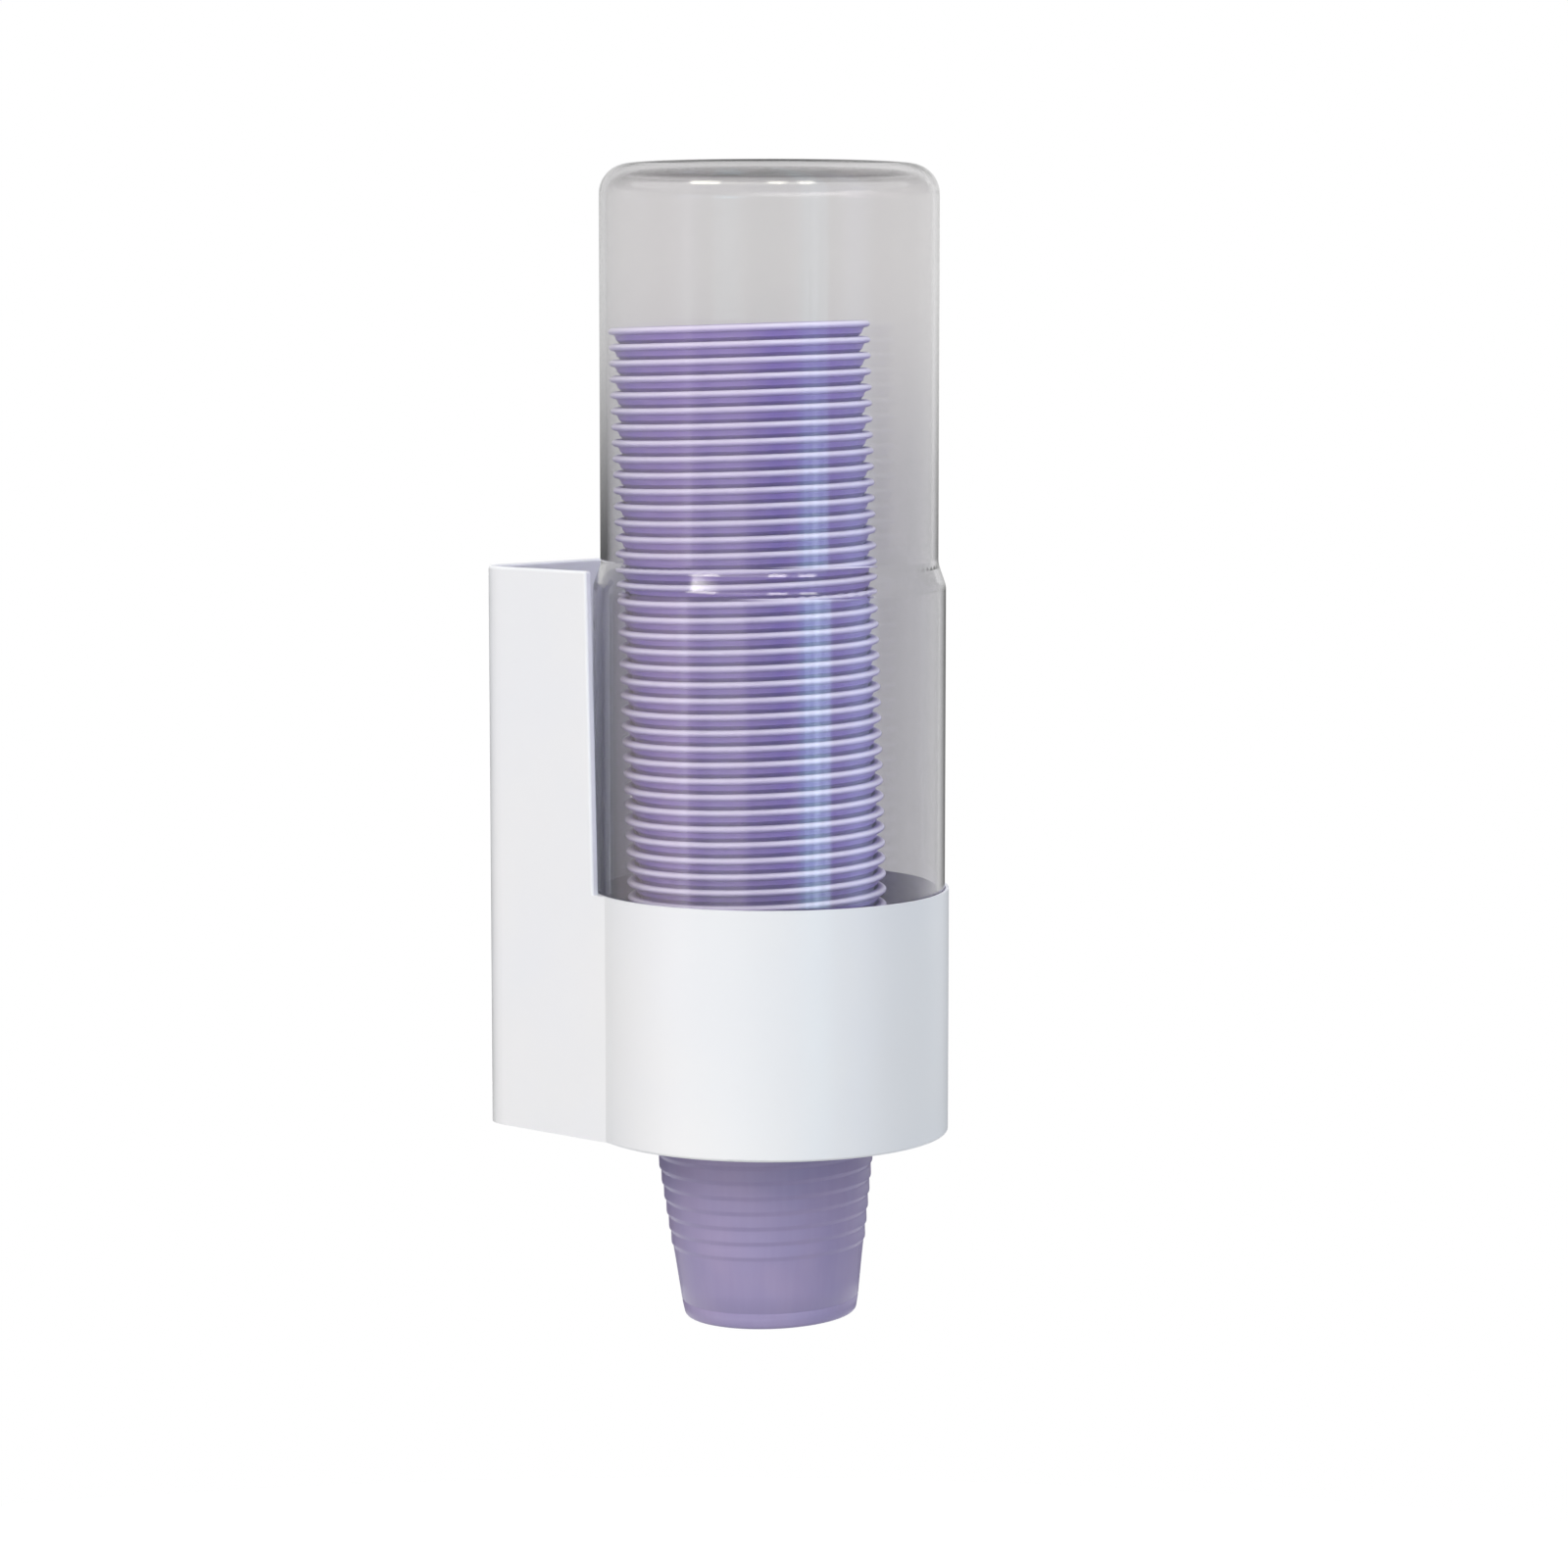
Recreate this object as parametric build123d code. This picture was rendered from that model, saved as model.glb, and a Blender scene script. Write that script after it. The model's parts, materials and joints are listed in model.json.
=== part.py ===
from build123d import *
import os
from math import atan, cos, degrees, radians, sin, sqrt, tan

os.makedirs("parts", exist_ok=True)

# The cup, which sets the size of everything round it
cup_rim_radius = 35.0
cup_height = 70.0
cup_wall = 0.25
cup_floor = 0.5
cup_lip_width = 3.0
cup_lip_height = 1.9
cup_lip_thickness = 0.4
cup_draw = 8.5
cup_base_round = 1.4
cup_foot_height = 4.4
cup_foot_groove = 0.25
cup_rib_count = 10
cup_rib_start = 19.4
cup_rib_land_share = 0.76
cup_nest_pitch = 4.22
cup_count = 48

# Clear cover, a stepped tube with a closed top
cup_play = 8.55
cover_wall = 1.8
cover_step = 2.05
cover_top_round = 8.0
cover_headroom = 43.7
shoulder_drop = 4.6
shoulder_height = 5.8
shoulder_round = 6.0

# Collar, the round front of the white housing
seat_clearance = 0.3
seat_lip_wall = 0.8
seat_depth = 10.0
collar_wall = 3.0
collar_height = 66.3
collar_edge_round = 0.7

# Channel, the flat sides and back of the white housing
channel_height = 152.6
channel_wall = 2.6
channel_inset = 3.8
channel_corner_radius = 10.0
channel_edge_round = 0.8
pocket_depth = 16.6
wing_clearance = 1.6
wing_setback = 2.1

# Ledge, finger ring and clamp ring that hold the lowest cup by its lip
ring_rise = 16.1
ledge_clearance = 5.5
ledge_thickness = 2.5
finger_bite = 2.0
finger_root = 1.0
finger_count = 12
finger_slot_width = 1.4
finger_ring_thickness = 1.2
clamp_ring_thickness = 2.2
ring_edge_clearance = 0.3
rest_gap = 0.3

# Screws under the clamp ring, and their bosses on the ledge
screw_count = 4
screw_start_angle = 45
screw_radius = 1.1
screw_fit = 0.1
screw_passage = 0.2
pilot_depth = 8.0
screw_point_gap = 1.8
screw_head_radius = 2.0
screw_head_height = 1.6
screw_head_round = 0.7
screw_recess_span = 2.4
screw_recess_width = 0.55
screw_recess_depth = 0.9
boss_wall = 1.35
boss_height = 6.0

# Holes for the wall screws
wall_hole_radius = 2.25
wall_hole_span_x = 24.0
wall_hole_span_z = 50.0
wall_hole_drop = 42.6

# Lean of the nested cups, towards the wall and one side
lean_heading = 131.5
lean_pivot_rise = -41.0
lean_rim_gap = 0.4

# How far every cut runs past the solid that it opens
overrun = 5.0

# Radii that follow from the cup
cup_mouth_radius = cup_rim_radius - cup_lip_width
cup_base_radius = cup_mouth_radius - cup_draw
cover_bore = cup_rim_radius + cup_play
cover_radius = cover_bore + cover_wall
cover_foot_radius = cover_radius + cover_step
seat_radius = cover_foot_radius + seat_clearance
collar_radius = seat_radius + seat_lip_wall
well_radius = collar_radius - collar_wall
ledge_radius = cup_rim_radius + ledge_clearance

# Places in plan, measured from the collar's axis towards the wall
channel_half_width = collar_radius - channel_inset
channel_inner_half = channel_half_width - channel_wall
axis_to_wall = collar_radius + pocket_depth + channel_wall
wing_foot = sqrt(cover_foot_radius**2 - channel_inner_half**2) + wing_clearance
wing_top = wing_foot + wing_setback
screw_circle = (ledge_radius + well_radius) / 2

# Heights above the collar's lower edge
wall_hole_rise = channel_height - wall_hole_drop
seat_rise = collar_height - seat_depth
shoulder_rise = channel_height - shoulder_drop
stack_rise = ring_rise + cup_lip_height + (cup_count - 1) * cup_nest_pitch
cover_rise = stack_rise + cover_headroom
clamp_rise = ring_rise - finger_ring_thickness - clamp_ring_thickness

# The line that the nested cups lean along
lean_reach = cover_bore - cup_rim_radius - lean_rim_gap
lean_angle = atan(lean_reach / (stack_rise - lean_pivot_rise))
lean_across = (cos(radians(lean_heading)), sin(radians(lean_heading)))
lip_rise = ring_rise + rest_gap + cup_rim_radius * sin(lean_angle)
lip_level = cup_height - cup_lip_height
serving_base = (lip_rise - lean_pivot_rise) / cos(lean_angle) - lip_level
cup_taper = cup_draw / lip_level

# The part's origin lies on the wall, at the centre of the four screw holes
place = Pos(0, -axis_to_wall, -wall_hole_rise)


def save(node, shape):
    export_step(place * shape, f"parts/{node}.step")
    print(node, round(shape.volume / 1000, 2), "cm3")


def lean_offset(rise):
    """How far the cups' line stands from the collar's axis at a height."""
    reach = (rise - lean_pivot_rise) * tan(lean_angle)
    return reach * lean_across[0], reach * lean_across[1]


def cup_location(index):
    """The base of a nested cup, counted up from the serving cup."""
    up = (
        sin(lean_angle) * lean_across[0],
        sin(lean_angle) * lean_across[1],
        cos(lean_angle),
    )
    line = Plane(origin=(0, 0, lean_pivot_rise), z_dir=up)
    return line.location * Pos(0, 0, serving_base + index * cup_nest_pitch)


def wall_radius(level):
    """Outside of the cup's plain taper at a height above its base."""
    return cup_base_radius + cup_taper * level


def turned(points):
    """A solid turned from the right half of its section."""
    section = make_face(Plane.XZ * Polyline(*points, close=True))
    return revolve(section, Axis.Z)


def post(radius, height):
    """A round bar that stands on its own foot."""
    return Cylinder(radius, height, align=(Align.CENTER, Align.CENTER, Align.MIN))


def screw_spots():
    """Where the clamp screws stand round the ledge."""
    return PolarLocations(screw_circle, screw_count, start_angle=screw_start_angle)


def housing_channel():
    """Flat sides and back, as their plan met with their side view."""
    depth = axis_to_wall
    outer = Pos(0, depth / 2) * Rectangle(2 * channel_half_width, depth)
    outer = fillet(outer.vertices().group_by(Axis.Y)[-1], channel_corner_radius)
    inner_depth = depth - channel_wall + overrun
    inner = Pos(0, inner_depth / 2 - overrun) * Rectangle(2 * channel_inner_half, inner_depth)
    inner_round = channel_corner_radius - channel_wall
    inner = fillet(inner.vertices().group_by(Axis.Y)[-1], inner_round)
    walls = extrude(outer - inner, channel_height)
    side_view = Plane.YZ * Polyline(
        (0, 0),
        (depth, 0),
        (depth, channel_height),
        (wing_top, channel_height),
        (wing_foot, collar_height),
        (0, collar_height),
        close=True,
    )
    channel = walls & extrude(make_face(side_view), channel_half_width, both=True)
    edges = channel.edges()
    crest = edges.group_by(Axis.Z)[-1]
    fronts = edges.filter_by_position(Axis.Y, wing_foot, wing_top, inclusive=(False, False))
    return fillet(crest + fronts, channel_edge_round)


def housing_collar():
    """Round well with a thin raised lip that the cover stands in."""
    edge = collar_edge_round
    with BuildPart() as collar:
        with BuildSketch(Plane.XZ):
            with BuildLine():
                FilletPolyline(
                    (seat_radius, collar_height),
                    (seat_radius, seat_rise),
                    (well_radius, seat_rise),
                    (well_radius, 0),
                    (collar_radius, 0),
                    (collar_radius, collar_height),
                    radius=[0, 0, edge, edge],
                )
                Line((collar_radius, collar_height), (seat_radius, collar_height))
            make_face()
        revolve(axis=Axis.Z)
    return collar.part


def housing_ledge():
    """Ring inside the well, with a screw boss over each clamp screw."""
    middle = collar_wall / 2
    ledge_top = ring_rise + ledge_thickness
    ledge = turned(
        [
            (ledge_radius, ring_rise),
            (well_radius + middle, ring_rise),
            (well_radius + middle, ledge_top),
            (ledge_radius, ledge_top),
        ]
    )
    boss = post(screw_radius + boss_wall, boss_height)
    for spot in screw_spots():
        ledge += Pos(0, 0, ledge_top) * spot * boss
    return ledge


def pilot_holes():
    """Blind holes that the clamp screws are driven into from below."""
    hole = post(screw_radius + screw_fit, pilot_depth + overrun)
    start = Pos(0, 0, ring_rise - overrun)
    return [start * spot * hole for spot in screw_spots()]


def wall_holes():
    """Four holes through the back for the wall screws."""
    hole = Cylinder(wall_hole_radius, channel_wall + 2 * overrun)
    middle = Pos(0, axis_to_wall - channel_wall / 2, wall_hole_rise)
    spots = GridLocations(wall_hole_span_x, wall_hole_span_z, 2, 2)
    return [middle * Rot(90, 0, 0) * spot * hole for spot in spots]


def make_housing():
    """White moulding: channel, collar, ledge and bosses in one piece."""
    well = Pos(0, 0, -overrun) * post(well_radius, collar_height + 2 * overrun)
    seat = Pos(0, 0, seat_rise) * post(seat_radius, seat_depth)
    channel = housing_channel() - well - seat
    body = channel + housing_collar() + housing_ledge()
    for hole in pilot_holes() + wall_holes():
        body -= hole
    return body


def cover_outline(inset):
    """Half section of the stepped tube, drawn in by a wall thickness."""
    foot = cover_foot_radius - inset
    body = cover_radius - inset
    top = cover_rise - inset
    return FilletPolyline(
        (foot, seat_rise),
        (foot, shoulder_rise),
        (body, shoulder_rise + shoulder_height),
        (body, top),
        (0, top),
        radius=[shoulder_round - inset, shoulder_round + inset, cover_top_round - inset],
    )


def make_cover():
    """Clear stepped tube, closed at the top and open at its foot."""
    with BuildPart() as cover:
        with BuildSketch(Plane.XZ):
            with BuildLine():
                outside = cover_outline(0)
                inside = cover_outline(cover_wall)
                Line(outside @ 0, inside @ 0)
                Line(outside @ 1, inside @ 1)
            make_face()
        revolve(axis=Axis.Z)
    return cover.part


def make_finger_ring():
    """Soft ring whose fingers reach in under the lowest cup's lip."""
    tip_radius = cup_rim_radius - finger_bite
    root_radius = ledge_radius - finger_root
    slot_start = tip_radius - lean_reach
    slot_length = root_radius - slot_start
    plan = Circle(well_radius - ring_edge_clearance)
    plan -= Pos(*lean_offset(ring_rise)) * Circle(tip_radius)
    slot = SlotOverall(slot_length, finger_slot_width)
    for spot in PolarLocations(slot_start + slot_length / 2, finger_count):
        plan -= spot * slot
    for spot in screw_spots():
        plan -= spot * Circle(screw_radius + screw_passage)
    return Pos(0, 0, ring_rise) * extrude(plan, -finger_ring_thickness)


def make_clamp_ring():
    """Flat ring that the screws pull up against the finger ring."""
    plan = Circle(well_radius - ring_edge_clearance) - Circle(ledge_radius)
    for spot in screw_spots():
        plan -= spot * Circle(screw_radius + screw_passage)
    return Pos(0, 0, clamp_rise) * extrude(plan, clamp_ring_thickness)


def make_clamp_screws():
    """Cross-head screws driven up from below the collar."""
    head = post(screw_head_radius, screw_head_height)
    head = fillet(head.edges().group_by(Axis.Z)[0], screw_head_round)
    slot = Box(screw_recess_span, screw_recess_width, 2 * screw_recess_depth)
    head -= slot + Rot(0, 0, 90) * slot
    shank_length = ring_rise + pilot_depth - screw_point_gap - clamp_rise
    screw = head + Pos(0, 0, screw_head_height) * post(screw_radius, shank_length)
    foot = Pos(0, 0, clamp_rise - screw_head_height)
    return Compound(children=[foot * spot * screw for spot in screw_spots()])


def make_plain_cup():
    """Thin tapered cup with a turned-down lip, as it waits in the nest."""
    under_lip = cup_height - cup_lip_thickness
    return turned(
        [
            (0, 0),
            (cup_base_radius, 0),
            (wall_radius(under_lip), under_lip),
            (cup_rim_radius, lip_level),
            (cup_rim_radius, cup_height),
            (wall_radius(cup_height) - cup_wall, cup_height),
            (wall_radius(cup_floor) - cup_wall, cup_floor),
            (0, cup_floor),
        ]
    )


def ribbed_wall(inset):
    """The cup's wall from foot to lip, stepped where the ribs are."""
    points = [
        (wall_radius(cup_foot_height) - cup_foot_groove - inset, cup_foot_height),
        (wall_radius(cup_foot_height + cup_wall) - inset, cup_foot_height + 2 * cup_wall),
    ]
    for index in range(cup_rib_count):
        low = cup_rib_start + index * cup_nest_pitch
        high = low + cup_nest_pitch
        land_foot = high - cup_rib_land_share * cup_nest_pitch
        points += [
            (wall_radius(low) - inset, low),
            (wall_radius(high) - inset, land_foot),
        ]
    top = cup_rib_start + cup_rib_count * cup_nest_pitch
    return points + [(wall_radius(top) - inset, top)]


def make_serving_cup():
    """The lowest cup, with its ribs, foot line and hollow lip."""
    under_lip = cup_height - cup_lip_thickness
    skirt_radius = cup_rim_radius - cup_lip_thickness
    outside = [
        (0, 0),
        (cup_base_radius - cup_base_round, 0),
        (wall_radius(cup_base_round), cup_base_round),
        (wall_radius(cup_foot_height - cup_wall), cup_foot_height - cup_wall),
        *ribbed_wall(0),
        (wall_radius(under_lip), under_lip),
        (skirt_radius, under_lip),
        (skirt_radius, lip_level),
        (cup_rim_radius, lip_level),
        (cup_rim_radius, cup_height),
    ]
    inside = [
        (wall_radius(cup_height) - cup_wall, cup_height),
        *reversed(ribbed_wall(cup_wall)),
        (wall_radius(cup_floor) - cup_wall, cup_floor),
        (0, cup_floor),
    ]
    return turned(outside + inside)


save("housing", make_housing())
save("cover", make_cover())
save("finger_ring", make_finger_ring())
save("clamp_ring", make_clamp_ring())
save("clamp_screws", make_clamp_screws())
save("serving_cup", cup_location(0) * make_serving_cup())
waiting_cup = make_plain_cup()
for number in range(1, cup_count):
    save(f"waiting_cup_{number:02d}", cup_location(number) * waiting_cup)

print("lean", round(degrees(lean_angle), 3), "degrees")
print("collar radius", collar_radius, "cover top", round(cover_rise, 2))
print("mount to axis", axis_to_wall, "serving cup base", round(serving_base, 2))
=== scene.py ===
# %% [markdown]
# # Cup dispenser
# A white moulded housing hangs on a wall. A clear stepped tube stands in its round collar, and
# holds a nest of thin lavender cups. The lowest cup hangs out of the collar, and a soft ring
# inside holds it by its rim until someone pulls it.
#
# The solids come from the CAD model, in metres, and they already stand where they belong. They
# could all be modelled again here, but their shapes are right, so this lesson only gives them a
# camera, light and finishes. It swaps the plain CAD cups for cups with a finer rim, neck and
# base.

# %% Load the solids
import json

import bmesh
import bpy
from math import asin, cos, degrees, pi, radians, sin, sqrt, tau
from mathutils import Matrix, Vector


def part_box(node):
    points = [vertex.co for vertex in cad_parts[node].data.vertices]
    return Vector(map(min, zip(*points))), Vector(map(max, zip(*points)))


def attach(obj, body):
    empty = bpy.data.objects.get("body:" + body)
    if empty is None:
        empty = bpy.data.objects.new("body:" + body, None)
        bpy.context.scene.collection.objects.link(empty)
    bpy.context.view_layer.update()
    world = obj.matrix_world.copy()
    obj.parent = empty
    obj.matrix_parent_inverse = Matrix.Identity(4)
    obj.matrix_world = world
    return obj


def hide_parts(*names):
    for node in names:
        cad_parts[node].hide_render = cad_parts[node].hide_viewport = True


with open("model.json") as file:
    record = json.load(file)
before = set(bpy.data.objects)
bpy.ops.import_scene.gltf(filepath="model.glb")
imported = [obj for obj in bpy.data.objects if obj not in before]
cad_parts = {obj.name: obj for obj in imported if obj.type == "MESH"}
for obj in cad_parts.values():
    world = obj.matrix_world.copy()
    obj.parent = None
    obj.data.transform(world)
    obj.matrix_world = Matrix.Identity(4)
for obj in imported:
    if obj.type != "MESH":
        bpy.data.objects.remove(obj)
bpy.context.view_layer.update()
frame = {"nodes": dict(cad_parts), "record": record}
mm = 0.001

# %% [markdown]
# ## Camera
# The photograph looks at the dispenser from its left front and a little from above. A camera
# could be moved by eye until the picture looks alike. Here its angle, distance and lens were
# fitted to the collar's two round edges and to the corners of the housing, so the camera takes
# those numbers as they are. A long lens keeps the tube's sides nearly parallel, as they are in
# the photograph.

# %% Camera
heading, pitch = 0.846, 0.109
distance, shift = 1159.369 * mm, 3.926 * mm
aim = Vector((0, -67.7, -15.78)) * mm
look = Vector((sin(heading) * cos(pitch), cos(heading) * cos(pitch), -sin(pitch)))
aside = Vector((cos(heading), -sin(heading), 0))
camera_data = bpy.data.cameras.new("camera")
camera_data.lens = 98.62
camera_data.sensor_width = 36
camera = bpy.data.objects.new("camera", camera_data)
camera.location = aim - look * distance + aside * shift
camera.rotation_mode = "QUATERNION"
camera.rotation_quaternion = look.to_track_quat("-Z", "Y")
bpy.context.collection.objects.link(camera)
bpy.context.scene.camera = camera
bpy.context.scene.view_settings.view_transform = "Standard"
print("camera at, mm:", [round(v / mm) for v in camera.location])

# %% [markdown]
# ## Nodes
# The room and every finish below are small graphs of shader nodes. They could be drawn by hand
# in the node editor, but a graph in code can be read and repeated. The first helper makes a
# node, sets its plain values and links its inputs in one call. The others are the few steps that
# nearly every graph needs: a sum, a smooth ramp from one number to another, a blend of two
# colours and their product.


# %% Node helpers
def node(tree, kind, values=None, **settings):
    """Add a node. Values are plain numbers or the outputs of other nodes."""
    made = tree.nodes.new(kind)
    for name, value in settings.items():
        setattr(made, name, value)
    for name, value in (values or {}).items():
        if isinstance(value, bpy.types.NodeSocket):
            tree.links.new(value, made.inputs[name])
        else:
            made.inputs[name].default_value = value
    return made


def maths(tree, operation, *values):
    """One step of arithmetic on numbers."""
    return node(tree, "ShaderNodeMath", dict(enumerate(values)), operation=operation).outputs[0]


def spread(tree, value, low, high, start=0.3, end=0.7):
    """Map a value between start and end smoothly to low and high."""
    values = {"Value": value, "From Min": start, "From Max": end, "To Min": low, "To Max": high}
    return node(tree, "ShaderNodeMapRange", values, interpolation_type="SMOOTHSTEP").outputs[0]


def blend(tree, share, first, second):
    """A colour between two colours."""
    mixed = node(tree, "ShaderNodeMix", data_type="RGBA")
    for place, value in ((0, share), (6, first), (7, second)):
        if isinstance(value, bpy.types.NodeSocket):
            tree.links.new(value, mixed.inputs[place])
        else:
            mixed.inputs[place].default_value = value
    return mixed.outputs[2]


def times(tree, first, second):
    """Two colours multiplied."""
    values = {0: first, 1: second}
    return node(tree, "ShaderNodeVectorMath", values, operation="MULTIPLY").outputs[0]


world = bpy.data.worlds.new("pale room")
bpy.context.scene.world = world
world.use_nodes = True
room = world.node_tree
room.nodes.clear()
print("world:", world.name)

# %% [markdown]
# ## Room light
# The real dispenser hangs in a bright room, and it is lit from all sides. Many lamps could do
# this, but a world that glows by itself is softer and renders faster. It is strongest from above
# and weak from below, which darkens the undersides of the cups' rims. The wall side gives less,
# the left is a little warmer, and the right is cooler and weaker, as on the collar in the
# photograph.

# %% Room light
white = (1, 1, 1, 1)
from_above, from_below = (0.96, 0.99, 1.03, 1), (0.34, 0.36, 0.40, 1)
wall_side = (0.66, 0.67, 0.70, 1)
left_side, right_side = (1.01, 0.995, 0.965, 1), (0.935, 0.97, 1.02, 1)

toward = node(room, "ShaderNodeTexCoord").outputs["Generated"]
way_x, way_y, way_z = node(room, "ShaderNodeSeparateXYZ", {0: toward}).outputs


def level_part(x, y):
    """How far a direction in the room points along a level one."""
    return maths(room, "ADD", maths(room, "MULTIPLY", way_x, x), maths(room, "MULTIPLY", way_y, y))


to_right = level_part(cos(heading), -sin(heading))
room_light = blend(room, spread(room, way_z, 0, 1, -0.5, 0.7), from_below, from_above)
wall_tint = blend(room, spread(room, way_y, 0, 1, -0.3, 0.7), white, wall_side)
side_tint = blend(room, spread(room, to_right, 0, 1, -0.6, 0.6), left_side, right_side)
room_light = times(room, times(room, room_light, wall_tint), side_tint)
print("room light from above:", from_above[:3], "and from below:", from_below[:3])

# %% [markdown]
# ## Windows in the reflections
# The tube shows upright streaks, because a round tube mirrors the whole room as narrow upright
# bands. A modelled room with windows would give them, but it would also throw its light and
# shadows on everything. So the room is one colour ramp round the horizon, with soft bright bands
# for its windows, and only reflections see it. A band at a place on the tube comes from twice
# the angle that the tube's surface turns away from the camera there.
#
# The hanging cup narrows downwards, so it mirrors what lies lower down. A second ramp there
# holds one broad soft window on the left.

# %% Windows
# Share of the tube's radius right of its axis, brightness, and colour
windows = [
    (-0.96, 0.05, (0.95, 0.95, 1.0)),
    (-0.90, 0.3, (0.95, 0.95, 1.0)),
    (-0.83, 1.0, (1.0, 0.92, 0.97)),
    (-0.76, 1.6, (1.0, 0.90, 0.96)),
    (-0.66, 1.8, (1.0, 0.88, 0.95)),
    (-0.54, 2.4, (1.0, 0.88, 0.93)),
    (-0.47, 3.2, (1.0, 0.94, 0.97)),
    (-0.44, 1.8, (1.0, 0.93, 0.94)),
    (-0.38, 1.3, (1.0, 1.0, 1.0)),
    (-0.28, 1.9, (0.98, 1.0, 1.0)),
    (-0.17, 1.9, (1.0, 1.0, 1.0)),
    (-0.09, 0.9, (0.85, 0.96, 1.0)),
    (0.05, 0.9, (0.82, 0.97, 1.0)),
    (0.10, 1.2, (0.86, 0.90, 1.0)),
    (0.15, 1.8, (0.82, 0.88, 1.0)),
    (0.19, 2.6, (0.58, 0.85, 1.0)),
    (0.215, 4.6, (0.58, 0.86, 1.0)),
    (0.24, 3.6, (0.55, 0.84, 1.0)),
    (0.27, 5.6, (0.63, 0.88, 1.0)),
    (0.30, 3.6, (0.58, 0.85, 1.0)),
    (0.33, 4.2, (0.65, 0.87, 1.0)),
    (0.36, 1.2, (0.9, 0.95, 1.0)),
    (0.40, 1.6, (0.8, 0.88, 1.0)),
    (0.50, 3.0, (0.66, 0.78, 1.0)),
    (0.64, 0.6, (0.95, 0.95, 1.0)),
    (0.80, 1.1, (1.0, 1.0, 1.0)),
    (0.90, 1.3, (1.0, 1.0, 1.0)),
]
low_windows = [
    (-0.80, 0.2, (1.0, 0.9, 0.95)),
    (-0.45, 5.0, (1.0, 0.97, 0.98)),
    (-0.05, 5.0, (0.97, 1.0, 1.0)),
    (0.30, 0.3, (0.8, 0.85, 1.0)),
]
behind_glow = 0.05
print("window bands:", len(windows), "and low ones:", len(low_windows))

# %% [markdown]
# ## Bands round the room
# A colour ramp holds colours up to 1, so the glows go in divided by the brightest one and come
# out multiplied by it. The bands end a little below the horizon. Above it the room is pale and
# even, which is what the top of the tube and the cups' rims mirror.

# %% Bands
brightest = 10
to_camera = level_part(-sin(heading), -cos(heading))
turn_of_room = maths(room, "DIVIDE", maths(room, "ARCTAN2", to_right, to_camera), tau)
round_room = maths(room, "ADD", turn_of_room, 0.5)


def window_turn(share):
    """Where a reflection at a share of the tube's radius comes from, as a share of the circle."""
    return 0.5 + asin(share) / pi


def round_bands(stops, ends):
    """A colour round the horizon, from stops of share, glow and tint."""
    ramp = node(room, "ShaderNodeValToRGB", {0: round_room})
    ramp.color_ramp.interpolation = "EASE"
    for end in ramp.color_ramp.elements:
        end.color = [ends / brightest] * 3 + [1]
    for share, glow, tint in stops:
        stop = ramp.color_ramp.elements.new(window_turn(share))
        stop.color = [glow * value / brightest for value in tint] + [1]
    return times(room, ramp.outputs[0], [brightest] * 3)


level_bands = round_bands(windows, behind_glow)
low_bands = round_bands(low_windows, behind_glow)
bands = blend(room, spread(room, way_z, 1, 0, -0.26, -0.14), level_bands, low_bands)
mirrored = blend(room, spread(room, way_z, 0, 0.8, -0.075, 0.01), bands, white)
print("brightest band:", max(glow for share, glow, tint in windows + low_windows))

# %% [markdown]
# ## Ceiling lamps in the reflections
# In the photograph ceiling lamps glint as short bright marks on the tube's shoulder and top
# edge. Real lamps up there would work, but they would light the cups too, so another ramp holds
# three of them, at one height only.

# %% Ceiling lamps
cream = (1.0, 0.97, 0.86)
ceiling_lamps = [
    (-0.50, 0), (-0.46, 10), (-0.33, 10), (-0.29, 1.5),
    (-0.02, 1.5), (0.01, 9), (0.09, 9), (0.12, 1.5),
    (0.17, 1.5), (0.20, 8), (0.26, 8), (0.30, 0),
]
lamp_stops = [(share, glow, cream) for share, glow in ceiling_lamps]
above, below = spread(room, way_z, 0, 1, 0.34, 0.40), spread(room, way_z, 1, 0, 0.50, 0.56)
lamps_seen = times(room, round_bands(lamp_stops, 0), maths(room, "MULTIPLY", above, below))
mirrored = node(room, "ShaderNodeVectorMath", {0: mirrored, 1: lamps_seen}).outputs[0]
print("stops for the ceiling lamps:", len(lamp_stops))

# %% [markdown]
# ## Who sees what
# The photograph has a plain white ground, so the world is white to the camera, and to whatever
# shows it through clear plastic. Reflections see the windows, and all other light is the soft
# room light. Light Path tells the kinds of ray apart.
#
# The real tube is nearly clear and stands in a grey room. On a white ground the grey has to be
# in the tube itself, and its tint would then darken the cups and the channel behind it. So light
# that reaches them through the tube counts for more, most of all from the sides.

# %% Kinds of ray
rays = node(room, "ShaderNodeLightPath").outputs
after_mirror = maths(room, "GREATER_THAN", rays["Glossy Depth"], 0.5)
turned_back = maths(room, "MULTIPLY", rays["Is Transmission Ray"], after_mirror)
in_mirror = maths(room, "MAXIMUM", rays["Is Glossy Ray"], turned_back)
straight_through = maths(room, "SUBTRACT", rays["Is Transmission Ray"], turned_back)
clear_view = maths(room, "MAXIMUM", rays["Is Camera Ray"], straight_through)
past_tube = maths(room, "GREATER_THAN", rays["Transparent Depth"], 0.5)
through_tube = maths(room, "MULTIPLY", rays["Is Diffuse Ray"], past_tube)

lit = blend(room, in_mirror, room_light, mirrored)
colour_seen = blend(room, clear_view, lit, white)
given_back = spread(room, way_z, 2.8, 0.3, 0.0, 1.0)
strength = maths(room, "MULTIPLY_ADD", through_tube, given_back, 1)
sky = node(room, "ShaderNodeBackground", {"Color": colour_seen, "Strength": strength})
node(room, "ShaderNodeOutputWorld", {"Surface": sky.outputs[0]})
print("nodes in the world:", len(room.nodes))

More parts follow.
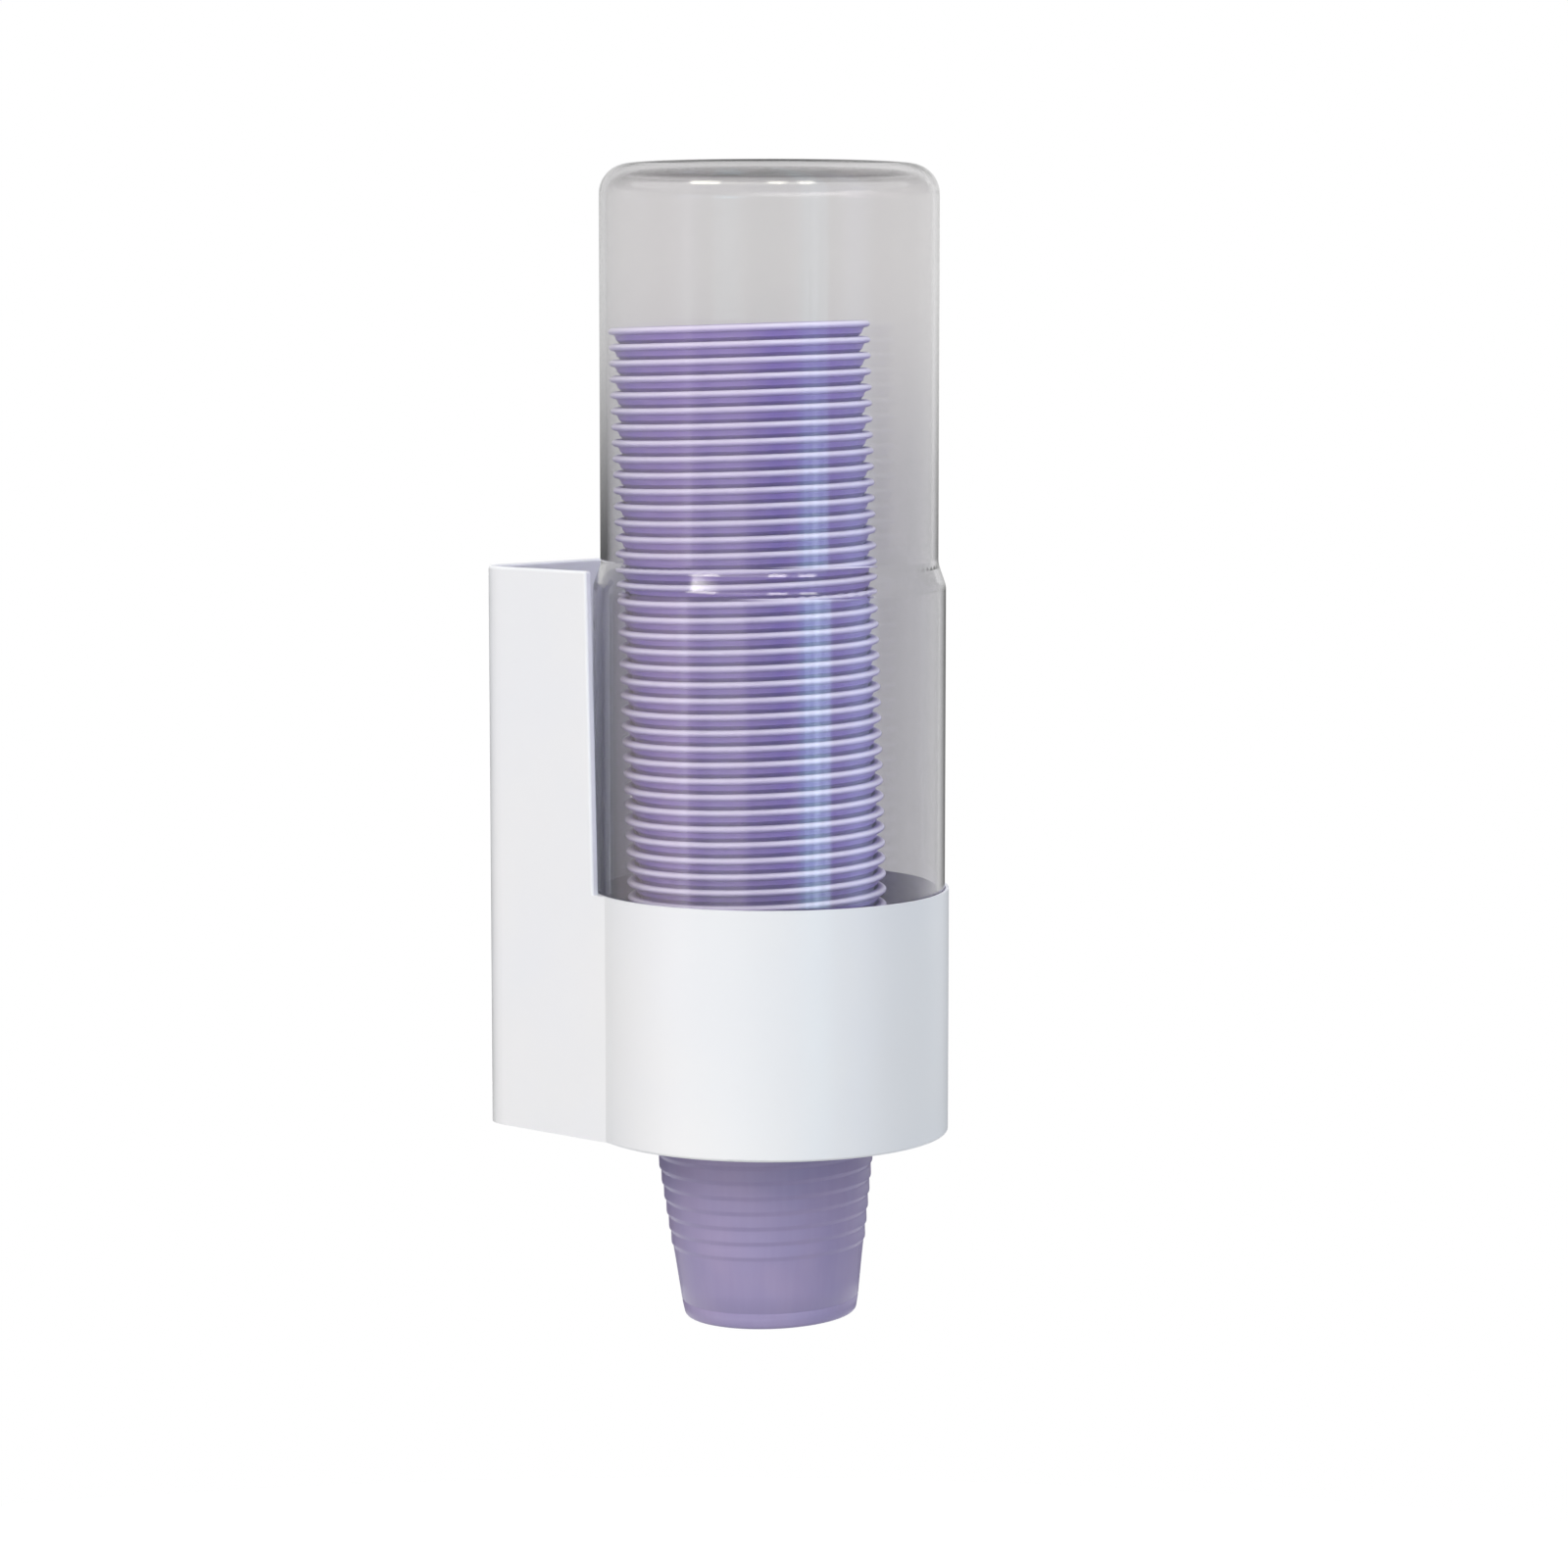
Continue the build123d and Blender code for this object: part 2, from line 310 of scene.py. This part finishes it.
# %% [markdown]
# ## Floor
# A dispenser hangs well above the floor. The floor could be a huge plane, but the tube would
# show its horizon. So it is a pale disc far below, which ends below the tube's view and takes
# the soft shadow of what hangs over it. A little light of its own lifts it to the same white as
# the background, so that its edge doesn't show.

# %% Floor
floor_reach, floor_drop, floor_glow = 1.45, 0.62, 0.72
floor_mesh = bpy.data.meshes.new("floor")
bm = bmesh.new()
bmesh.ops.create_circle(bm, cap_ends=True, radius=floor_reach, segments=96)
bm.to_mesh(floor_mesh)
bm.free()
floor = bpy.data.objects.new("floor", floor_mesh)
floor.location = (0, 0, -floor_drop)
bpy.context.collection.objects.link(floor)

paint = bpy.data.materials.new("pale floor")
paint.use_nodes = True
tree = paint.node_tree
tree.nodes.clear()
rays = node(tree, "ShaderNodeLightPath").outputs
seen = maths(tree, "MAXIMUM", rays["Is Camera Ray"], rays["Is Glossy Ray"])
seen = maths(tree, "MAXIMUM", seen, rays["Is Transmission Ray"])
matt = node(tree, "ShaderNodeBsdfDiffuse", {"Color": (0.5, 0.5, 0.5, 1)})
own_light = {"Color": white, "Strength": maths(tree, "MULTIPLY", seen, floor_glow)}
lift = node(tree, "ShaderNodeEmission", own_light)
both = node(tree, "ShaderNodeAddShader", {0: matt.outputs[0], 1: lift.outputs[0]})
node(tree, "ShaderNodeOutputMaterial", {"Surface": both.outputs[0]})
floor_mesh.materials.append(paint)
print("floor at, mm:", floor.location.z / mm)

# %% [markdown]
# ## Lamp
# The left of the collar is lit a little warmer and brighter than its right. A sun would do that
# with hard shadows. One large soft lamp, to the camera's left and above the dispenser, gives the
# photograph's soft ones. Reflections don't see it, because the windows are there already.

# %% Lamp
turn, rise, away = radians(-34) - heading, radians(38), 2.2
lamp_width, glow = 1.2, 3.3
lamp_data = bpy.data.lights.new("key lamp", "AREA")
lamp_data.shape = "RECTANGLE"
lamp_data.size = lamp_data.size_y = lamp_width
lamp_data.energy = glow * pi * lamp_width**2
lamp_data.color = (1.0, 0.935, 0.86)
key_lamp = bpy.data.objects.new("key lamp", lamp_data)
out = Vector((sin(turn) * cos(rise), -cos(turn) * cos(rise), sin(rise)))
key_lamp.location = aim + out * away
key_lamp.rotation_mode = "QUATERNION"
key_lamp.rotation_quaternion = (-out).to_track_quat("-Z", "Y")
key_lamp.visible_camera = False
key_lamp.visible_glossy = False
key_lamp.visible_transmission = False
bpy.context.collection.objects.link(key_lamp)
print("lamp at, mm:", [round(v / mm) for v in key_lamp.location])

# %% [markdown]
# ## White housing plastic
# The housing is one injection moulding in white plastic with a satin shine. One flat colour
# would look like paper. Fresh mouldings are not quite even: the colour drifts a little between
# cooler and warmer white, the surface has a very fine texture from the steel mould, and handling
# leaves some patches shinier than others. Noise at three sizes gives these three effects, and a
# thin clear coat gives the shine of the skin.


# %% White plastic
def material(name):
    """A new material, its node tree and its Principled shader."""
    made = bpy.data.materials.new(name)
    made.use_nodes = True
    tree = made.node_tree
    return made, tree, tree.nodes["Principled BSDF"]


def noise(tree, size, detail=3.0, stretch=(1, 1, 1)):
    """Soft noise whose features are about size metres across."""
    where = node(tree, "ShaderNodeTexCoord").outputs["Object"]
    place = node(tree, "ShaderNodeMapping", {"Vector": where, "Scale": stretch}).outputs[0]
    values = {"Vector": place, "Scale": 1 / size, "Detail": detail}
    return node(tree, "ShaderNodeTexNoise", values).outputs[0]


def bump(tree, height, depth, strength=1.0):
    """A normal that is tilted by a height map of a depth in metres."""
    values = {"Height": height, "Distance": depth, "Strength": strength}
    return node(tree, "ShaderNodeBump", values).outputs[0]


def dress(tree, shader, colour, roughness, normal):
    """Link what varies over a surface to its shader."""
    tree.links.new(colour, shader.inputs["Base Color"])
    tree.links.new(roughness, shader.inputs["Roughness"])
    tree.links.new(normal, shader.inputs["Normal"])


def white_plastic(name, cool, warm, roughness):
    """Satin white, between a cooler and a warmer one."""
    made, tree, shader = material(name)
    colour = blend(tree, spread(tree, noise(tree, 0.06), 0, 1), cool, warm)
    shine = spread(tree, noise(tree, 0.02), roughness - 0.04, roughness + 0.05)
    dress(tree, shader, colour, shine, bump(tree, noise(tree, 0.0005, 2.0), 0.00001, 0.5))
    shader.inputs["IOR"].default_value = 1.5
    shader.inputs["Coat Weight"].default_value = 0.25
    shader.inputs["Coat Roughness"].default_value = 0.18
    print(name, "roughness", roughness)
    return made


housing_white = white_plastic("housing white", (0.88, 0.885, 0.895, 1), (0.905, 0.90, 0.89, 1), 0.36)
clamp_white = white_plastic("clamp ring white", (0.80, 0.81, 0.82, 1), (0.83, 0.83, 0.82, 1), 0.42)

# %% [markdown]
# ## Clear plastic
# The tube is clear moulded plastic. Its grey tint stands in for the grey room seen through it, and
# it is deeper towards its foot as painted shade. A thin see-through film would be quicker, but it
# doesn't bend light. This shader has full transmission, bends light as it goes in and out of each
# wall, and has the tint as its colour. A weak absorption inside the wall deepens where the line of
# sight runs along the wall, which draws the tube's dark outline.
#
# Light would hardly reach the cups through a bending shader. So shadow rays, which look for the
# lamp, and diffuse rays, which look for the room, pass a plain see-through shader in its place.


# %% Clear plastic
def clear_plastic(name, shaded_foot_tint, top_tint, inside, density):
    """Bending plastic with a grey tint, deeper towards the foot as painted shade. Soft light passes
    straight through.
    """
    made, tree, shader = material(name)
    where = node(tree, "ShaderNodeTexCoord").outputs["Object"]
    height = node(tree, "ShaderNodeSeparateXYZ", {0: where}).outputs[2]
    # Painted shade: the tint is darker towards the tube's foot.
    tint = blend(tree, spread(tree, height, 0, 1, 0.05, 0.13), shaded_foot_tint, top_tint)
    waves = noise(tree, 0.011, 1.0, (1, 1, 0.12))
    shine = spread(tree, noise(tree, 0.012), 0.015, 0.05)
    dress(tree, shader, tint, shine, bump(tree, waves, 0.00006, 0.35))
    shader.inputs["Transmission Weight"].default_value = 1.0
    shader.inputs["IOR"].default_value = 1.49

    rays = node(tree, "ShaderNodeLightPath").outputs
    surface = shader.outputs[0]
    for kind, share in (("Is Diffuse Ray", 0.98), ("Is Shadow Ray", 0.86)):
        open_way = node(tree, "ShaderNodeBsdfTransparent", {"Color": (share, share, share, 1)})
        parts = {0: rays[kind], 1: surface, 2: open_way.outputs[0]}
        surface = node(tree, "ShaderNodeMixShader", parts).outputs[0]
    tinted = node(tree, "ShaderNodeVolumeAbsorption", {"Color": inside, "Density": density})
    tree.links.new(surface, tree.nodes["Material Output"].inputs["Surface"])
    tree.links.new(tinted.outputs[0], tree.nodes["Material Output"].inputs["Volume"])
    print(name, "density", density)
    return made


# Painted grey for the room seen through the tube, with painted shade at the foot.
shaded_foot_grey, top_grey, wall_grey = (0.655, 0.65, 0.67, 1), (0.80, 0.79, 0.79, 1), (0.42, 0.41, 0.45, 1)
cover_clear = clear_plastic("tube clear", shaded_foot_grey, top_grey, wall_grey, 34.0)

# %% [markdown]
# ## Ring and screws
# The finger ring is soft silicone rubber, matt and slightly yellowed. The screws under the clamp
# ring are zinc-plated steel, with fine marks from handling. Both are small and hidden, so noise
# in colour, roughness and bump is enough, and no textures are painted.


# %% Rubber and steel
def soft_rubber(name):
    """Matt rubber with a fine grain."""
    made, tree, shader = material(name)
    yellowing = spread(tree, noise(tree, 0.008), 0, 1)
    colour = blend(tree, yellowing, (0.62, 0.61, 0.56, 1), (0.70, 0.69, 0.64, 1))
    shine = spread(tree, noise(tree, 0.003), 0.55, 0.72)
    dress(tree, shader, colour, shine, bump(tree, noise(tree, 0.0006), 0.00003, 0.6))
    print(name)
    return made


def zinc_steel(name):
    """Steel under a thin layer of zinc."""
    made, tree, shader = material(name)
    spots = spread(tree, noise(tree, 0.0015), 0, 1)
    colour = blend(tree, spots, (0.52, 0.53, 0.55, 1), (0.66, 0.66, 0.67, 1))
    shine = spread(tree, noise(tree, 0.0006), 0.24, 0.42)
    marks = noise(tree, 0.0002, 2.0, (1, 1, 4))
    dress(tree, shader, colour, shine, bump(tree, marks, 0.00001, 0.5))
    shader.inputs["Metallic"].default_value = 1.0
    print(name)
    return made


ring_rubber = soft_rubber("ring rubber")
screw_steel = zinc_steel("screw steel")

# %% [markdown]
# ## Finishes on the solids
# The housing, tube, rings and screws have the right shapes already. They could be copied and
# refined, but a finish that sits on the CAD mesh itself keeps every edge where the CAD model has
# it.


# %% Finish the solids
def finish(name, made):
    """Give a CAD node one material all over."""
    data = frame["nodes"][name].data
    data.materials.clear()
    data.materials.append(made)
    print(name, "takes", made.name)


finish("housing", housing_white)
finish("cover", cover_clear)
finish("finger_ring", ring_rubber)
finish("clamp_ring", clamp_white)
finish("clamp_screws", screw_steel)

# %% [markdown]
# ## One cup
# Each cup is drawn from a thin sheet: a tapered wall, ribs that stiffen it, a short neck that
# steps out over the cup below, a rim rolled outwards and down, and a base pushed in so that the
# cup stands on a narrow ring. It could be pulled out of a cylinder by hand, but all of it is
# round, so one outline turned about the cup's axis makes it. First come the sizes, in
# millimetres, and two helpers for points on the taper and on a round edge.

# %% Cup sizes
rim_radius, cup_height, wall = 35.0, 70.0, 0.25
mouth_radius, base_radius, neck_radius = 32.0, 23.5, 32.9
lip_width, lip_height, base_round = 2.9, 1.9, 1.4
foot_height, groove_depth = 4.4, 0.22
rib_start, rib_pitch, rib_count = 19.4, 4.22, 10
neck_start = 65.5
taper = (mouth_radius - base_radius) / (cup_height - lip_height)


def side(level):
    """Radius of the plain taper at a height."""
    return base_radius + taper * level


def arc(across, up, wide, high, start, end, count):
    """Points on an ellipse, from one angle to another in degrees."""
    steps = [radians(start + (end - start) * i / count) for i in range(count + 1)]
    return [(across + wide * cos(a), up + high * sin(a)) for a in steps]


print("cup, mm:", 2 * rim_radius, "across and", cup_height, "high")

# %% [markdown]
# ## Ribs and neck
# Ten ribs run round the upper wall, one for each cup pitch. They could be a bump in the
# material, but their edges show at the cup's outline, so they are real steps. The neck steps out
# just above the rim of the cup below, so that little of a dark gap shows between two rims in the
# nest. The same points serve both faces of the wall: the inside is the outside, drawn in by the
# thickness of the sheet.


# %% Ribs and neck
def rib_points(inset):
    """The stepped wall: each rib rises steeply, then runs straight up."""
    points = []
    for index in range(rib_count):
        low = rib_start + index * rib_pitch
        high = low + rib_pitch
        inner, outer = side(low) - inset, side(high) - inset
        points += [(inner, low - 0.35), (inner + 0.04, low + 0.1)]
        points += [(outer - 0.06, low + 0.75), (outer, low + 1.25), (outer, high - 1.0)]
    top = rib_start + rib_count * rib_pitch
    return points + [(side(top) - inset, top), (side(top + 3) - inset, top + 3)]


def neck_points(inset):
    """The wall steps out over the rim below, and runs straight up to its own rim."""
    points = [(side(neck_start), neck_start), (side(neck_start) + 0.35, neck_start + 0.45)]
    points += [(neck_radius - 0.5, 66.4), (neck_radius - 0.08, 66.75), (neck_radius, 67.2)]
    return [(r - inset, z) for r, z in points]


print("ribs:", rib_count, "points:", len(rib_points(0)) + len(neck_points(0)))

# %% [markdown]
# ## Outline
# The outline runs from the middle of the base up the outside, round the rolled rim and back down
# the inside, so that the wall has its real thickness. A flat surface with a thickness modifier
# would be shorter, but it couldn't roll the rim. The roll closes on itself, so it is drawn as a
# full bead.

# %% Cup outline
outside = [(0, 1.25), (10, 1.2), (18.6, 1.05), (19.6, 0.85), (20.2, 0.35)]
outside += arc(20.9, 0.4, 0.6, 0.4, 190, 270, 4)
outside += arc(base_radius - base_round, base_round, base_round, base_round, -90, -7, 7)
outside += [(side(foot_height - 0.45), foot_height - 0.45)]
outside += [(side(foot_height) - groove_depth, foot_height + z) for z in (-0.12, 0.12)]
outside += [(side(foot_height + 0.5), foot_height + 0.5), (side(10), 10), (side(15), 15)]
outside += rib_points(0) + neck_points(0)
bead_radius, bead_middle = rim_radius - lip_width / 2, cup_height - lip_height / 2
outside += arc(bead_radius, bead_middle, lip_width / 2, lip_height / 2, -96, 90, 18)
outside += arc(neck_radius - wall + 0.4, cup_height - 0.5, 0.4, 0.5, 100, 180, 5)

inside = neck_points(wall)[::-1] + rib_points(wall)[::-1]
inside += [(side(level) - wall, level) for level in (15, 6, 2.4)]
inside += arc(base_radius - 1.6, 1.9, 1.35, 1.2, 0, -80, 6)
inside += [(20.4, 1.05), (19.4, 1.5), (10, 1.65), (0, 1.7)]
outline = [(r * mm, z * mm) for r, z in outside + inside]
print("points in the cup outline:", len(outline))

# %% [markdown]
# ## Painted light and shade on the sheet
# The rim's rolled edge is painted pale, a painted highlight where it catches the light, and the
# neck under it is painted deep violet, a painted shade under the rim. Two materials would leave a
# hard line between them, so each point of the outline gets a number instead, and the finish
# blends its colours by it.

# %% Painted light
# Levels of painted light: the plain wall, a painted shade on the lip's inner side, and the neck's
# painted shade, which deepens upwards from 64.9 mm.
plain_wall_level, inner_lip_light = 0.45, 0.15
lip_foot, neck_shade_start, neck_shade_height = cup_height - lip_height, 64.9, 1.2


def painted_light(radius, height):
    """Of the outer face: 0, painted shade, in the neck under the rim; 1, painted highlight, on the
    rim's edge; between on the wall.
    """
    if height > lip_foot:
        up_the_lip = (height - lip_foot) / (lip_height * 0.75)
        out_on_lip = (radius - neck_radius - 0.2) / 1.1
        return min(1, up_the_lip, max(inner_lip_light, out_on_lip))
    return plain_wall_level * (1 - max(0, min(1, (height - neck_shade_start) / neck_shade_height)))


light_and_shade = [painted_light(r, z) for r, z in outside] + [plain_wall_level] * len(inside)
print("paleness from", min(light_and_shade), "to", max(light_and_shade))

# %% [markdown]
# ## Turning the outline
# Blender's spin makes a ring of copies of the outline and joins them, and the copies carry the
# painted light with them. A screw modifier would do the same, but the export wants a plain
# mesh. The ends of the outline lie on the axis, so their copies fall together and are merged.
# Faces are smoothed, and an edge stays crisp only where the outline turns sharply.

# %% Cup mesh
steps_round, crisp = 112, 38


def turned(name, outline, light_and_shade):
    """A mesh made by turning an outline of (radius, height) about Z."""
    bm = bmesh.new()
    carried = bm.verts.layers.float.new("painted_light")
    line = [bm.verts.new((r, 0, z)) for r, z in outline]
    for corner, shade in zip(line, light_and_shade):
        corner[carried] = shade
    edges = [bm.edges.new(pair) for pair in zip(line, line[1:])]
    about = dict(axis=(0, 0, 1), cent=(0, 0, 0), angle=tau)
    bmesh.ops.spin(bm, geom=line + edges, steps=steps_round, use_merge=True, **about)
    bmesh.ops.remove_doubles(bm, verts=bm.verts, dist=1e-6)
    bmesh.ops.recalc_face_normals(bm, faces=bm.faces)
    made = bpy.data.meshes.new(name)
    bm.to_mesh(made)
    bm.free()
    made.shade_smooth()
    made.set_sharp_from_angle(angle=radians(crisp))
    print(name, "has", len(made.polygons), "faces")
    return made


cup_mesh = turned("cup", outline, light_and_shade)

# %% [markdown]
# ## Cup plastic
# The cups are thin lavender plastic, pressed from a warm sheet, so they have a satin shine, soft
# clouds in their colour and faint upright streaks. A picture of a cup could be wrapped round the
# mesh, but noise stretched upright looks the same from all sides and has no seam. The ramp turns
# the painted light into three colours: a painted shade of deep violet in the neck, the sheet's own
# lavender on the wall, and a pale painted highlight on the rim.


# %% Cup plastic
def cup_plastic(name):
    """Lavender sheet, with painted light and shade by the number at each point."""
    made, tree, shader = material(name)
    streaks = noise(tree, 0.0022, 3.0, (1, 1, 0.05))
    clouds = spread(tree, noise(tree, 0.018, 2.0), 0, 0.25)
    painted_light_fac = node(tree, "ShaderNodeAttribute", attribute_name="painted_light").outputs["Fac"]
    ramp = node(tree, "ShaderNodeValToRGB", {0: painted_light_fac})
    # Painted shade: deep violet in the neck. Painted highlight: pale on the rim's edge. Between them
    # the sheet's own lavender.
    ramp.color_ramp.elements[0].color = (0.20, 0.125, 0.43, 1)
    ramp.color_ramp.elements[1].color = (0.67, 0.62, 0.72, 1)
    ramp.color_ramp.elements.new(plain_wall_level).color = (0.34, 0.29, 0.49, 1)
    colour = blend(tree, clouds, ramp.outputs[0], (0.48, 0.36, 0.52, 1))
    colour = blend(tree, spread(tree, streaks, 0, 0.03), colour, (0.75, 0.70, 0.85, 1))
    shine = spread(tree, streaks, 0.32, 0.38)
    dress(tree, shader, colour, shine, bump(tree, streaks, 0.00002, 0.25))
    shader.inputs["IOR"].default_value = 1.5
    shader.inputs["Specular IOR Level"].default_value = 0.4
    print(name)
    return made


cup_mesh.materials.append(cup_plastic("cup lavender"))

# %% [markdown]
# ## The nest
# The cups stand one in another, and the nest leans a little towards the wall. An array modifier
# could repeat one cup, but each cup is a piece of its own that moves, so each gets an object. It
# takes its place from the CAD cup that it stands for: the direction of the lean is the way the
# nest sinks, and the top edge of the rim fixes the height. Four copies of the mesh, each turned
# by another angle and leaned, are used in turn, so that the streaks of one cup do not line up
# with the next.


# %% Lean
def leaning_up():
    """The direction in which the nested cups lean."""
    for joint in frame["record"]["behaviour"]["joints"]:
        if joint["name"] == "nest_drop":
            return -Vector(joint["axis"]).normalized()


up = leaning_up()
lean = sqrt(1 - up.z**2)
middle_of_lip = bead_middle * mm
turn_between_cups = 1.3
leaned = []
for number in range(4):
    copied = cup_mesh.copy()
    turned_by = Matrix.Rotation(turn_between_cups * number, 4, "Z")
    copied.transform(up.to_track_quat("Z", "Y").to_matrix().to_4x4() @ turned_by)
    leaned.append(copied)
print("lean, degrees:", round(degrees(asin(lean)), 2))

# %% [markdown]
# ## Every cup in its place
# The lowest cup rides on its own body, because it is the one that is pulled. The others ride on
# the nest, which sinks by one pitch when it has gone. Each replaces its CAD cup, and all share
# one slot, so that one finish can be changed for all of them.


# %% Place the cups
def base_of(name):
    """The middle of a CAD cup's base, from its box."""
    low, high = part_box(name)
    height = high.z - rim_radius * mm * lean - cup_height * mm * up.z
    across = (low + high) / 2 - up * middle_of_lip
    return Vector((across.x, across.y, height))


def place_cup(number, name, body):
    """Put one cup where a CAD cup stands, in its place and on its body."""
    cup = bpy.data.objects.new(f"cup_{number:02d}", leaned[number % 4])
    cup.location = base_of(name)
    bpy.context.collection.objects.link(cup)
    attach(cup, body)
    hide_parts(name)


place_cup(0, "serving_cup", "serving_cup")
waiting = sorted(name for name in frame["nodes"] if name.startswith("waiting_cup"))
for number, name in enumerate(waiting, 1):
    place_cup(number, name, "waiting_nest")
print("cups:", 1 + len(waiting))
